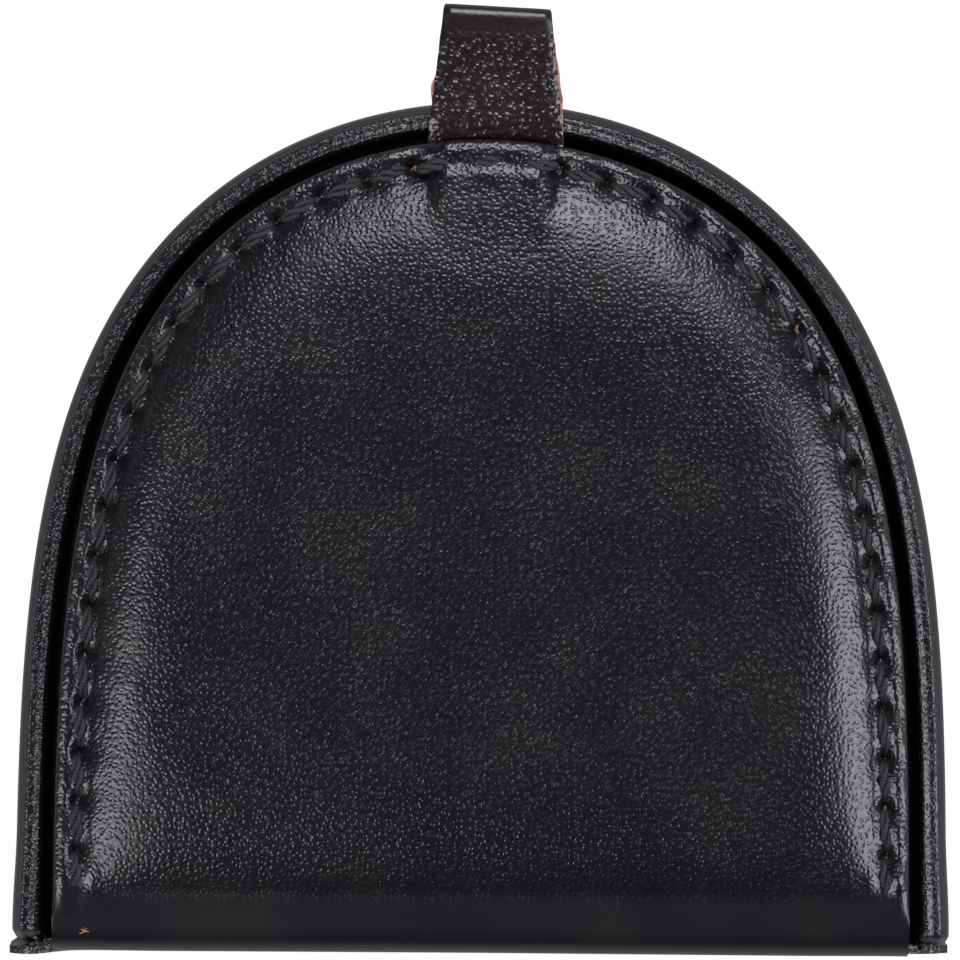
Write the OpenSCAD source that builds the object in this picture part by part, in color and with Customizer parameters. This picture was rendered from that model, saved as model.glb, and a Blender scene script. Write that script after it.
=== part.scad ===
// Horseshoe coin purse in stitched leather.
// A walled tray and a slightly smaller coin pocket nest into each other and
// share one leather hinge along the straight side. A doubled leather tab at
// the crown pulls the pocket out of the tray.
//
// X runs along the hinge, Y from the hinge to the tab, Z up from the table
// that the tray's back lies on. The origin is the middle of the bounding
// box's underside. Millimetres throughout.

/* [Outline] */
// Width of the purse along the hinge
purse_w = 75; // [60:0.5:95]
// Length of the purse from the hinge to the crown, without the tab
purse_l = 68.2; // [55:0.2:90]
// How square the shoulders are: a higher power gives squarer shoulders
shoulder_power = 4.4; // [3:0.1:6]
// How far below the hinge the outline's curve has its base line
base_drop = 13.7; // [5:0.1:20]

/* [Leather and boards] */
// Thickness of the outer leather
leather_t = 1.2; // [0.9:0.1:1.6]
// Thickness of the thin leather that is folded over the tray's wall
skin_t = 0.65; // [0.5:0.05:0.8]
// Thickness of the stiff strip inside each wall
core_t = 0.7; // [0.5:0.05:1]
// Thickness of the stiffening boards
board_t = 0.8; // [0.6:0.1:1.2]
// Thickness of the woven lining
lining_t = 0.5; // [0.3:0.05:0.7]

/* [Tray] */
// Height of the tray's rim above the table
tray_h = 13.9; // [11:0.1:20]
// Width of the flange that joins the tray's wall to its floor
tray_flange_w = 5.5; // [5:0.1:8]

/* [Coin pocket] */
// Gap all round between the tray's wall and the pocket's wall
nest_gap = 1.1; // [0.7:0.05:1.6]
// Height of the front leather's underside above the tray's rim
lip_rise = 0.4; // [0.3:0.05:0.8]
// Thickness of the thin leather on the pocket's wall
pocket_skin_t = 0.4; // [0.3:0.05:0.6]
// Width of the flanges that are sewn to the front and to the pocket's cover
pocket_flange_w = 5.6; // [5:0.1:8]
// Gap between the pocket's cover and the tray's floor
floor_gap = 0.5; // [0.4:0.05:1]
// Thickness of the pocket's cover
cover_t = 0.9; // [0.8:0.1:1.4]
// Distance from the hinge to the pocket's mouth, at its ends
mouth_y = 9; // [6:0.5:14]
// Depth of the scoop in the pocket's mouth
mouth_scoop = 7; // [3:0.5:12]
// Width of the scoop in the pocket's mouth
mouth_w = 46; // [30:1:50]
// How far the padded front stands above its stitched edge
crown_rise = 2.6; // [1:0.1:4]
// Length over which the padded front rises next to the hinge
crown_ramp = 12; // [6:0.5:20]

/* [Hinge] */
// Outside radius of the leather's turn at the front
front_roll_r = 4; // [3:0.1:4.6]
// Outside radius of the leather's turn at the back
back_roll_r = 2.5; // [2:0.1:3]

/* [Tab] */
// Width of the tab where it leaves the front
tab_root_w = 10; // [7:0.1:14]
// Width of the tab at its folded end
tab_end_w = 8.5; // [6:0.1:13]
// How far the tab reaches past the tray's rim
tab_reach = 7.9; // [6:0.1:14]
// Thickness of the doubled tab
tab_t = 1.8; // [1.2:0.1:2.4]
// How far the tab's middle is to the right of the purse's middle
tab_offset = 0.7; // [-2:0.1:2]
// Length of the tab's end that is sewn in under the front leather
tab_tail_l = 4.8; // [3.5:0.1:7]

/* [Stitching] */
// Distance between stitch holes
stitch_pitch = 3.9; // [3:0.1:5]
// Length of thread that shows between two holes
stitch_l = 3.0; // [2:0.1:3.6]
// Diameter of the sewing thread
thread_d = 0.7; // [0.4:0.05:0.8]
// Distance from a leather's edge to its row of stitches
seam_inset = 2.0; // [1.5:0.1:3]

/* [Hidden] */

half_steps = 36;      // outline points on each side of the crown
row_cells = 16;       // cells across a crowned surface
play = 0.3;           // free gap between pieces of different bodies
snug = 0.05;          // glue line between pieces of one body

half_w = purse_w / 2;
curve_h = purse_l + base_drop;
overall_l = purse_l + tab_reach;

// Levels, from the table up.
floor_z = leather_t;                      // top of the back leather
lining_z = floor_z + board_t;             // underside of the tray's lining
floor_top = lining_z + lining_t;          // top of the tray's lining
cover_z = floor_top + floor_gap;          // underside of the pocket's cover
cover_top = cover_z + cover_t;
flange_top = tray_h + lip_rise;           // underside of the front leather
front_z = flange_top + leather_t;         // top of the front leather's edge
flange_z = flange_top - board_t;          // underside of the pocket's top flange
pocket_lining_z = flange_z - lining_t;

// Insets from the purse's outline.
wall_t = 2 * skin_t + core_t;
pocket_wall_t = 2 * pocket_skin_t + core_t;
pocket_inset = wall_t + nest_gap;         // outside of the pocket's wall
panel_inset = pocket_inset - 0.1;         // edge of the front leather, just proud of it
tray_seam = wall_t + tray_flange_w / 2;   // stitches through the back leather
front_seam = panel_inset + seam_inset;    // stitches through the front leather
cover_seam = pocket_inset + pocket_flange_w / 2;

wall_end_y = leather_t + lining_t + play; // where the tray's wall stops
board_end_y = wall_end_y + 1;             // boards stop short, so that the hinge bends
back_axis = back_roll_r * (1 - PI / 4);   // crease axis, in from both outer faces
front_axis = front_roll_r * (1 - PI / 4);

panel_end_y = purse_l - panel_inset;      // the front leather's edge at the crown
tab_root_y = panel_end_y + 0.4;           // crease where the tab starts to lift
tab_z = tray_h + play + snug;             // underside of the tab over the rim
groove = thread_d + 0.3;                  // width of a channel that stitches lie in
groove_h = thread_d + snug;               // depth of that channel

// ---- outline -------------------------------------------------------------

// The outline is |x/half_w|^2 + (y/curve_h)^shoulder_power = 1, with y counted
// from its base line. t is 0 at the side and 90 at the crown.
// Angles start level with the hinge and lie closer together near the sides.
start_angle = asin(pow(base_drop / curve_h, shoulder_power / 2));
function step_angle(k) = start_angle + (90 - start_angle) * pow(k / half_steps, 1.5);
function edge_point(t, inset) =
    let (x = half_w * cos(t),
         y = curve_h * pow(sin(t), 2 / shoulder_power),
         n = [2 * x / pow(half_w, 2),
              shoulder_power / curve_h * pow(y / curve_h, shoulder_power - 1)])
    [x, y - base_drop] - inset * n / norm(n);
// The right half of an outline, from the line y = y0 up to the crown.
function right_edge(inset, y0) =
    let (points = [for (k = [0 : half_steps]) edge_point(step_angle(k), inset)],
         x0 = lookup(y0, [for (p = points) [p.y, p.x]]))
    concat([[x0, y0]], [for (p = points) if (p.y > y0 + snug) p]);
function mirrored(points) =
    [for (i = [len(points) - 1 : -1 : 0]) [-points[i].x, points[i].y]];
function drop_last(points) = [for (i = [0 : len(points) - 2]) points[i]];
function edge(inset, y0) =
    let (r = right_edge(inset, y0)) concat(r, mirrored(drop_last(r)));
function reversed(points) = [for (i = [len(points) - 1 : -1 : 0]) points[i]];

// ---- points spaced along a seam --------------------------------------------

function lengths(points, i = 1, sum = [0]) =
    i == len(points) ? sum
    : lengths(points, i + 1, concat(sum, sum[i - 1] + norm(points[i] - points[i - 1])));
function along(points, lens, d) =
    [for (i = [1 : len(points) - 1]) if (d >= lens[i - 1] && d < lens[i])
        let (f = (d - lens[i - 1]) / (lens[i] - lens[i - 1]))
        points[i - 1] + f * (points[i] - points[i - 1])][0];
function seam_holes(inset, y0) =
    let (points = edge(inset, y0), lens = lengths(points),
         whole = lens[len(lens) - 1], count = round(whole / stitch_pitch))
    [for (i = [0 : count]) along(points, lens, min(i * whole / count, whole - 0.001))];

// ---- shapes ----------------------------------------------------------------

// Everything is drawn with the hinge's outer face at y = 0, then centred.
module in_frame() translate([0, -overall_l / 2, 0]) children();

// A flat sheet with the purse's outline.
module sheet(inset, y0, z, t)
    translate([0, 0, z]) linear_extrude(t) polygon(edge(inset, y0));

// A strip that follows the outline, open at the hinge.
module strip(inset, w, y0, z, h)
    translate([0, 0, z]) linear_extrude(h)
        polygon(concat(edge(inset, y0), reversed(edge(inset + w, y0))));

// A row of thread bars between neighbouring holes.
module stitch_row(inset, y0, z) {
    holes = seam_holes(inset, y0);
    for (i = [1 : len(holes) - 1]) {
        d = holes[i] - holes[i - 1];
        middle = (holes[i] + holes[i - 1]) / 2;
        translate([middle.x, middle.y, z]) rotate([0, 0, atan2(d.y, d.x)])
            rotate([0, 90, 0]) cylinder(d = thread_d, h = stitch_l, center = true, $fn = 16);
    }
}

// A bar along X whose section is a polygon of [y, z] points.
module bar(w, section)
    translate([-w / 2, 0, 0]) rotate([90, 0, 90]) linear_extrude(w) polygon(section);

// Half the angle of the gap where two turned leathers meet at a crease.
function half_gap(r) = play / 2 / r * 180 / PI;

// Section of a leather turn, from angle a0 to a1 about [cy, cz].
function turn(cy, cz, r, t, a0, a1, n = 8) =
    concat([for (i = [0 : n]) let (a = a0 + (a1 - a0) * i / n) [cy + r * cos(a), cz + r * sin(a)]],
           [for (i = [n : -1 : 0]) let (a = a0 + (a1 - a0) * i / n)
               [cy + (r - t) * cos(a), cz + (r - t) * sin(a)]]);

// A closed skin between a lower and an upper grid of points.
module grid_solid(upper, lower) {
    rows = len(upper);
    cols = len(upper[0]);
    flat = concat([for (r = upper) each r], [for (r = lower) each r]);
    base = rows * cols;
    function at(i, j) = i * cols + j;
    polyhedron(flat, concat(
        [for (i = [0 : rows - 2], j = [0 : cols - 2]) each
            [[at(i, j), at(i + 1, j), at(i + 1, j + 1)],
             [at(i, j), at(i + 1, j + 1), at(i, j + 1)],
             [base + at(i, j), base + at(i + 1, j + 1), base + at(i + 1, j)],
             [base + at(i, j), base + at(i, j + 1), base + at(i + 1, j + 1)]]],
        [for (i = [0 : rows - 2]) each
            [[at(i, 0), base + at(i, 0), base + at(i + 1, 0), at(i + 1, 0)],
             [at(i, cols - 1), at(i + 1, cols - 1), base + at(i + 1, cols - 1), base + at(i, cols - 1)]]],
        [for (j = [0 : cols - 2]) each
            [[at(0, j), at(0, j + 1), base + at(0, j + 1), base + at(0, j)],
             [at(rows - 1, j), base + at(rows - 1, j), base + at(rows - 1, j + 1), at(rows - 1, j + 1)]]]));
}

// How far the padded front stands up, from 0 just inside its seam to 1 in the
// middle. Next to the hinge it rises over the length of a ramp.
crown_inset = front_seam + thread_d;
function crown(p) =
    let (seam = pow(p.x / (half_w - crown_inset), 2)
                + pow((p.y + base_drop) / (curve_h - crown_inset), shoulder_power),
         ramp = min(1, (p.y - front_roll_r) / crown_ramp))
    max(0, 1 - pow(seam, 2)) * (1 - pow(1 - ramp, 2));

// Rows of [x, y] across the front, following its outline, closer at the ends.
function front_rows(inset, y0) =
    [for (p = drop_last(right_edge(inset, y0)))
        [for (j = [0 : row_cells]) [p.x * sin(180 * j / row_cells - 90), p.y]]];
function crowned(rows, z, rise) =
    [for (row = rows) [for (p = row) [p.x, p.y, z + rise * crown(p)]]];

// ---- tray ------------------------------------------------------------------

module back_panel() color("#1d1b1f") in_frame() {
    difference() {
        sheet(0, back_roll_r, 0, leather_t);
        strip(tray_seam - groove / 2, groove, back_roll_r + 1, -1, 1 + groove_h);
    }
    bar(purse_w, turn(back_roll_r, back_roll_r, back_roll_r, leather_t,
                      225 + half_gap(back_roll_r), 270));
}

module back_board() color("#6b5a48") in_frame()
    sheet(wall_t + tray_flange_w + snug, board_end_y, floor_z, board_t);

module tray_lining() color("#17161a") in_frame()
    sheet(wall_t + snug, wall_end_y, lining_z, lining_t);

module tray_wall() color("#211f23") in_frame() difference() {
    union() {
        strip(0, wall_t, wall_end_y, floor_z, tray_h - floor_z);
        strip(0, wall_t + tray_flange_w, wall_end_y, floor_z, board_t);
    }
    strip(skin_t, core_t, wall_end_y - 1, floor_z - 1, tray_h - skin_t - floor_z + 1);
}

module tray_wall_core() color("#7a6650") in_frame()
    strip(skin_t, core_t, wall_end_y, floor_z, tray_h - skin_t - floor_z);

module tray_stitches() color("#2b3537") in_frame()
    stitch_row(tray_seam, back_roll_r + 2, groove_h - thread_d / 2);

// ---- hinge -----------------------------------------------------------------

module spine_panel() color("#1f1d21") in_frame() {
    bar(purse_w, turn(back_roll_r, back_roll_r, back_roll_r, leather_t,
                      180, 225 - half_gap(back_roll_r)));
    // the strip narrows from the back's width to the front's
    rotate([90, 0, 0]) translate([0, 0, -leather_t]) linear_extrude(leather_t)
        polygon([[-half_w, back_roll_r], [half_w, back_roll_r],
                 [half_w - panel_inset, front_z - front_roll_r],
                 [panel_inset - half_w, front_z - front_roll_r]]);
    bar(purse_w - 2 * panel_inset,
        turn(front_roll_r, front_z - front_roll_r, front_roll_r, leather_t,
             135 + half_gap(front_roll_r), 180));
}

module spine_lining() color("#17161a") in_frame()
    bar(purse_w - 2 * pocket_inset - 2 * pocket_wall_t,
        [[leather_t, floor_top + play], [leather_t + lining_t, floor_top + play],
         [leather_t + lining_t, front_z - front_roll_r], [leather_t, front_z - front_roll_r]]);

// ---- coin pocket -------------------------------------------------------------

module front_panel() color("#232126") in_frame() {
    rows = front_rows(panel_inset, front_roll_r);
    grid_solid(crowned(rows, front_z, crown_rise), crowned(rows, flange_top, crown_rise));
    bar(purse_w - 2 * panel_inset,
        turn(front_roll_r, front_z - front_roll_r, front_roll_r, leather_t,
             90, 135 - half_gap(front_roll_r)));
}

module front_padding() color("#4b4b50") in_frame() {
    rows = front_rows(crown_inset + seam_inset, front_roll_r + seam_inset);
    grid_solid(crowned(rows, flange_top, crown_rise - 2 * snug), crowned(rows, flange_top, 0));
}

module front_board() color("#6b5a48") in_frame()
    sheet(pocket_inset + pocket_flange_w + snug, front_roll_r, flange_z, board_t - snug);

module pocket_lining() color("#17161a") in_frame()
    sheet(pocket_inset + pocket_wall_t + snug, front_roll_r, pocket_lining_z, lining_t);

module pocket_wall() color("#211f23") in_frame() difference() {
    union() {
        strip(pocket_inset, pocket_wall_t, front_roll_r, cover_top, flange_top - cover_top);
        strip(pocket_inset, pocket_flange_w, front_roll_r, flange_z, board_t);
        strip(pocket_inset, pocket_flange_w, front_roll_r, cover_top, board_t);
    }
    strip(pocket_inset + pocket_skin_t, core_t, front_roll_r - 1, core_z, core_h);
    // notch that the tab's sewn-in end lies in
    translate([tab_offset - tab_root_w / 2, panel_end_y - tab_tail_l, flange_z])
        cube([tab_root_w, tab_tail_l + 1, board_t + 1]);
}

// The core stays under the notch, and the skin wraps its lower edge.
core_z = cover_top + pocket_skin_t;
core_h = flange_z - snug - core_z;

module pocket_wall_core() color("#7a6650") in_frame()
    strip(pocket_inset + pocket_skin_t, core_t, front_roll_r, core_z, core_h);

module pocket_cover() color("#232126") in_frame() difference() {
    sheet(pocket_inset, mouth_y, cover_z, cover_t);
    strip(cover_seam - groove / 2, groove, mouth_y + 1, cover_z - 1, 1 + groove_h);
    // scooped mouth, an arc that is mouth_scoop deep and mouth_w wide
    scoop_r = (pow(mouth_w / 2, 2) + pow(mouth_scoop, 2)) / (2 * mouth_scoop);
    translate([0, mouth_y + mouth_scoop - scoop_r, cover_z - 1])
        cylinder(r = scoop_r, h = cover_t + 2, $fn = 128);
}

module front_stitches() color("#2b3537") in_frame()
    stitch_row(front_seam, front_roll_r, front_z + thread_d / 2 + snug);

module pocket_stitches() color("#2b3537") in_frame()
    stitch_row(cover_seam, mouth_y + 2, cover_z + groove_h - thread_d / 2);

module tab_tail() color("#2a272b") in_frame() translate([tab_offset, 0, 0]) {
    tail_y = panel_end_y - tab_tail_l + snug;
    rise_y = panel_end_y - lip_rise;
    out_y = panel_end_y + snug;
    end_y = tab_root_y - snug;
    bar(tab_root_w - 2 * snug,
        [[tail_y, flange_z], [rise_y, flange_z], [end_y, tab_z], [end_y, tab_z + tab_t],
         [out_y, tab_z + tab_t], [out_y, flange_top], [tail_y, flange_top]]);
}

// ---- tab ---------------------------------------------------------------------

module pull_tab() color("#2a272b") in_frame() translate([tab_offset, 0, tab_z])
    linear_extrude(tab_t)
        polygon([[-tab_root_w / 2, tab_root_y + snug], [tab_root_w / 2, tab_root_y + snug],
                 [tab_end_w / 2, overall_l], [-tab_end_w / 2, overall_l]]);

back_panel();
back_board();
tray_lining();
tray_wall();
tray_wall_core();
tray_stitches();
spine_panel();
spine_lining();
front_panel();
front_padding();
front_board();
pocket_lining();
pocket_wall();
pocket_wall_core();
pocket_cover();
front_stitches();
pocket_stitches();
tab_tail();
pull_tab();
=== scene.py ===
# %% [markdown]
# # A horseshoe coin purse in stitched leather
#
# This purse is two nesting halves. The back half is a tray with a stiff wall.
# The front half is a coin pocket that fits inside the tray, so that the tray's
# rim shows as a ring round the padded, stitched front. One wrap of leather
# joins them along the straight side and bends there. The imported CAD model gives
# every size and every joint. This notebook gives the leather, thread and cloth.

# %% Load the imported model
import math
import bmesh
import bpy
import numpy as np
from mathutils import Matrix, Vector, noise
from mathutils.bvhtree import BVHTree


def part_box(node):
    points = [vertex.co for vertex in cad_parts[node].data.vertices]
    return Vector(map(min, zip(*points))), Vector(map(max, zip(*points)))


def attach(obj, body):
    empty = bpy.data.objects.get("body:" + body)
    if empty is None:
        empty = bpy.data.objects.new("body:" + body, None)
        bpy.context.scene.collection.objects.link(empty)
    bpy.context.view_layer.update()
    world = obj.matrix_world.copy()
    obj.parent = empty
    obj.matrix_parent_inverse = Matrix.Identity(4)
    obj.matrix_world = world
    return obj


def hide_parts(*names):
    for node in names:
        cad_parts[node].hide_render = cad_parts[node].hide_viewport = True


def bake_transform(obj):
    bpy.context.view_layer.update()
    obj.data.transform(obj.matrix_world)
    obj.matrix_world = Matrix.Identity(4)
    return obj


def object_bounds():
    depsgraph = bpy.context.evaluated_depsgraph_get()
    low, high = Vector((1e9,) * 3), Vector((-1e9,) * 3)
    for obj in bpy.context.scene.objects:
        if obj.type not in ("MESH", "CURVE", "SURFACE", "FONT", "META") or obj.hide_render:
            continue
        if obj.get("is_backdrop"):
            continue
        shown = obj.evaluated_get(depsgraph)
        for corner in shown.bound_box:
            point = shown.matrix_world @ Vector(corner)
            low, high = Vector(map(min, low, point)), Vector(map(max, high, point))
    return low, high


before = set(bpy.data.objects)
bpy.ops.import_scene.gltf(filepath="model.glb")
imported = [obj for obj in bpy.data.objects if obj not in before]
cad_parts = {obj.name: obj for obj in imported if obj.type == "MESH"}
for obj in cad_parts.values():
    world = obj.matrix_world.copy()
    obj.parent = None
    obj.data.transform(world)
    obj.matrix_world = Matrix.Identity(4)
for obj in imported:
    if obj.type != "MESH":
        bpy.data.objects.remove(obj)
cad_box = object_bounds()

# %% [markdown]
# ## Sizes
#
# Nothing is measured twice: the boxes of the CAD nodes give the purse's width,
# its levels and how far each layer is set in from the outline. Only the shape
# of the outline's curve is repeated here, because a box can't hold a curve.

# %% Read the sizes
MM = 0.001
LOW, HIGH = 0, 1
back_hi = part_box("back_panel")[HIGH]
front_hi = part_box("front_panel")[HIGH]
pocket_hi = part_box("pocket_wall")[HIGH]
cover_lo, cover_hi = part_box("pocket_cover")
tab_lo, tab_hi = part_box("pull_tab")

half_w = back_hi.x
hinge_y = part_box("spine_panel")[LOW].y
purse_l = back_hi.y - hinge_y
tray_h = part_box("tray_wall")[HIGH].z
floor_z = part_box("tray_lining")[HIGH].z
ceiling_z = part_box("pocket_lining")[LOW].z
panel_inset = half_w - front_hi.x
pocket_inset = half_w - pocket_hi.x
flange_top = pocket_hi.z

leather_t = 1.2 * MM
panel_end = front_hi.y
crown_rise = front_hi.z - flange_top - leather_t
front_z = flange_top + leather_t
front_roll_r = 4.0 * MM
back_roll_r = 2.5 * MM
mid_spine_z = 7.0 * MM
wall_t = 2.0 * MM
pocket_wall_t = 1.5 * MM
tab_x = (tab_lo.x + tab_hi.x) / 2
print(f"purse {2 * half_w / MM:.1f} x {purse_l / MM:.1f} mm, rim at {tray_h / MM:.1f} mm")

# %% Give the outline as a formula
shoulder_power = 4.4
base_drop = 13.7 * MM
curve_h = purse_l + base_drop


class Edge:
    """One line that runs parallel to the outline, from the right end of the hinge
    over the crown to the left end. s counts metres along it. Beyond its ends it
    runs straight on, which is where leather turns over the hinge."""

    def __init__(self, inset, y0):
        # from the curve's angle at the hinge to the crown, closer together at first
        start = math.asin((base_drop / curve_h) ** (shoulder_power / 2))
        t = start + (math.pi / 2 - start) * np.linspace(0, 1, 1200) ** 1.5
        x = half_w * np.cos(t)
        y = curve_h * np.sin(t) ** (2 / shoulder_power)
        rise = shoulder_power / curve_h * (y / curve_h) ** (shoulder_power - 1)
        out = np.stack([2 * x / half_w**2, rise], 1)
        out /= np.linalg.norm(out, axis=1)[:, None]
        right = np.stack([x, y + hinge_y - base_drop], 1) - inset * out
        keep = right[:, 1] > y0
        x0 = np.interp(y0, right[:, 1], right[:, 0])
        right = np.concatenate([[[x0, y0]], right[keep]])
        out = np.concatenate([[out[keep][0]], out[keep]])
        mirror = np.array([-1.0, 1.0])
        self.points = np.concatenate([right, right[-2::-1] * mirror])
        self.inward = -np.concatenate([out, out[-2::-1] * mirror])
        step = np.linalg.norm(np.diff(self.points, axis=0), axis=1)
        self.s = np.concatenate([[0], np.cumsum(step)])
        self.length = self.s[-1]
        self.y0 = y0

    def at(self, s, depth=0.0):
        """Points [x, y] at s, moved inward by depth, and the inward direction."""
        inside = np.clip(s, 0, self.length)
        p = np.stack([np.interp(inside, self.s, self.points[:, k]) for k in (0, 1)], -1)
        n = np.stack([np.interp(inside, self.s, self.inward[:, k]) for k in (0, 1)], -1)
        n /= np.linalg.norm(n, axis=-1)[..., None]
        beyond = np.maximum(-np.asarray(s), np.asarray(s) - self.length)
        p = p + n * np.asarray(depth)[..., None]
        p[..., 1] -= np.maximum(beyond, 0)
        return p, n


def smooth(x, low, high):
    """0 below low, 1 above high, and an S curve between."""
    t = np.clip((np.asarray(x, float) - low) / (high - low), 0, 1)
    return t * t * (3 - 2 * t)


def ripple(points, size, seed=0.0):
    """Smooth noise from -1 to 1 for each [x, y] point, with lumps of that size."""
    return np.array([noise.noise(Vector((p[0] / size, p[1] / size, seed))) for p in points])


outer_edge = Edge(0, hinge_y)
print(f"the outline is {outer_edge.length / MM:.0f} mm long")

# %% [markdown]
# ## Shared finishes
#
# Every leather here is the same glazed skin, so its grain is one recipe: small
# pits, soft lumps, fine grit, a few pores and slow changes in gloss. The recipe
# is built as two node groups. On a flat hide the pits lie evenly only if their
# cells are flat, and on a folded one the cells need all three directions. Each
# material places a group with its own scale and depth. A group only puts out
# values that vary over the surface. The shader itself, with its fixed index of
# refraction, stays in each material.

# %% Helpers for node trees


def node(tree, kind, place, **settings):
    made = tree.nodes.new(kind)
    made.location = place
    for name, value in settings.items():
        setattr(made, name, value)
    return made


def set_inputs(made, **values):
    for name, value in values.items():
        made.inputs[name.replace("_", " ")].default_value = value
    return made


def math_node(tree, place, operation, a, b=0.0):
    made = node(tree, "ShaderNodeMath", place, operation=operation)
    for socket, value in zip(made.inputs, (a, b)):
        if isinstance(value, (int, float)):
            socket.default_value = value
        else:
            tree.links.new(value, socket)
    return made.outputs[0]


def ranged(tree, place, value, low, high, to_low, to_high):
    """An S curve that takes value from low..high to to_low..to_high."""
    made = node(tree, "ShaderNodeMapRange", place, interpolation_type="SMOOTHSTEP")
    set_inputs(made, From_Min=low, From_Max=high, To_Min=to_low, To_Max=to_high)
    tree.links.new(value, made.inputs["Value"])
    return made.outputs[0]


def noise_node(tree, place, scale, **values):
    return set_inputs(node(tree, "ShaderNodeTexNoise", place), Scale=scale, **values)


def mixed_colour(tree, place, share, low, high):
    """low where share is 0, high where it is 1."""
    made = node(tree, "ShaderNodeMix", place, data_type="RGBA")
    made.inputs["A"].default_value = (*low, 1)
    made.inputs["B"].default_value = (*high, 1)
    tree.links.new(share, made.inputs["Factor"])
    return made.outputs["Result"]


def add_bump(tree, place, height, strength, distance):
    """Turns a height into the shader's normal. distance is in millimetres."""
    made = set_inputs(node(tree, "ShaderNodeBump", place), Strength=strength, Distance=distance * MM)
    tree.links.new(height, made.inputs["Height"])
    tree.links.new(made.outputs["Normal"], tree.nodes["Principled BSDF"].inputs["Normal"])


def new_group(name, inputs, outputs):
    group = bpy.data.node_groups.new(name, "ShaderNodeTree")
    for label, kind, value in inputs:
        socket = group.interface.new_socket(label, in_out="INPUT", socket_type=kind)
        if value is not None:
            socket.default_value = value
    for label, kind in outputs:
        group.interface.new_socket(label, in_out="OUTPUT", socket_type=kind)
    source = node(group, "NodeGroupInput", (-1400, 0))
    sink = node(group, "NodeGroupOutput", (700, 0))
    return group, source, sink


# %% The grain groups


def make_grain_group(name, dimensions):
    """Pits in cells of that many dimensions, lumps, grit, pores and blotches."""
    group, source, sink = new_group(
        name,
        [("Vector", "NodeSocketVector", None), ("Scale", "NodeSocketFloat", 1.0),
         ("Fade", "NodeSocketFloat", 1.0)],
        [("Height", "NodeSocketFloat"), ("Pores", "NodeSocketFloat"), ("Blotch", "NodeSocketFloat")],
    )
    link = group.links.new
    scaled = node(group, "ShaderNodeVectorMath", (-1200, 100), operation="SCALE")
    link(source.outputs["Vector"], scaled.inputs[0])
    link(source.outputs["Scale"], scaled.inputs["Scale"])
    # a little noise bends the cells, so that no pit is a clean circle
    bend = noise_node(group, (-1200, -150), 1300.0, Detail=1.0)
    link(scaled.outputs[0], bend.inputs["Vector"])
    centred = node(group, "ShaderNodeVectorMath", (-1000, -150), operation="SUBTRACT")
    centred.inputs[1].default_value = (0.5, 0.5, 0.5)
    link(bend.outputs["Color"], centred.inputs[0])
    small = node(group, "ShaderNodeVectorMath", (-850, -150), operation="SCALE")
    small.inputs["Scale"].default_value = 0.00025
    link(centred.outputs[0], small.inputs[0])
    bent = node(group, "ShaderNodeVectorMath", (-700, 0), operation="ADD")
    link(scaled.outputs[0], bent.inputs[0])
    link(small.outputs[0], bent.inputs[1])
    pits = node(group, "ShaderNodeTexVoronoi", (-500, 200), feature="F1", voronoi_dimensions=dimensions)
    set_inputs(pits, Scale=2250.0, Randomness=0.85)
    lumps = noise_node(group, (-500, -60), 2600.0, Detail=1.5, Roughness=0.5)
    fine = noise_node(group, (-500, -320), 4800.0, Detail=0.0)
    patch = noise_node(group, (-500, -560), 150.0, Detail=2.0)
    for texture in (pits, lumps, fine, patch):
        link(bent.outputs[0], texture.inputs["Vector"])
    pitted = ranged(group, (-250, 200), pits.outputs["Distance"], 0.04, 0.46, 0.0, 1.0)
    pore = ranged(group, (-250, -60), lumps.outputs["Fac"], 0.30, 0.45, 1.0, 0.0)
    strong = ranged(group, (-250, -560), patch.outputs["Fac"], 0.3, 0.7, 0.86, 1.0)
    relief = math_node(group, (-50, 200), "MULTIPLY", pitted, strong)
    lumpy = math_node(group, (-50, 0), "MULTIPLY", lumps.outputs["Fac"], 1.25)
    grit = math_node(group, (-50, -200), "MULTIPLY", fine.outputs["Fac"], 0.22)
    relief = math_node(group, (100, 250), "ADD", relief, lumpy)
    relief = math_node(group, (150, 100), "ADD", relief, grit)
    link(math_node(group, (350, 100), "MULTIPLY", relief, source.outputs["Fade"]), sink.inputs["Height"])
    link(math_node(group, (350, -100), "MULTIPLY", pore, source.outputs["Fade"]), sink.inputs["Pores"])
    link(patch.outputs["Fac"], sink.inputs["Blotch"])
    return group


flat_grain = make_grain_group("grain of a flat hide", "2D")
round_grain = make_grain_group("grain of a folded hide", "3D")
print("node groups:", flat_grain.name, "and", round_grain.name)

# %% Leather materials


def new_material(name):
    material = bpy.data.materials.new(name)
    material.use_nodes = True
    shader = material.node_tree.nodes["Principled BSDF"]
    return material, material.node_tree, shader


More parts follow.
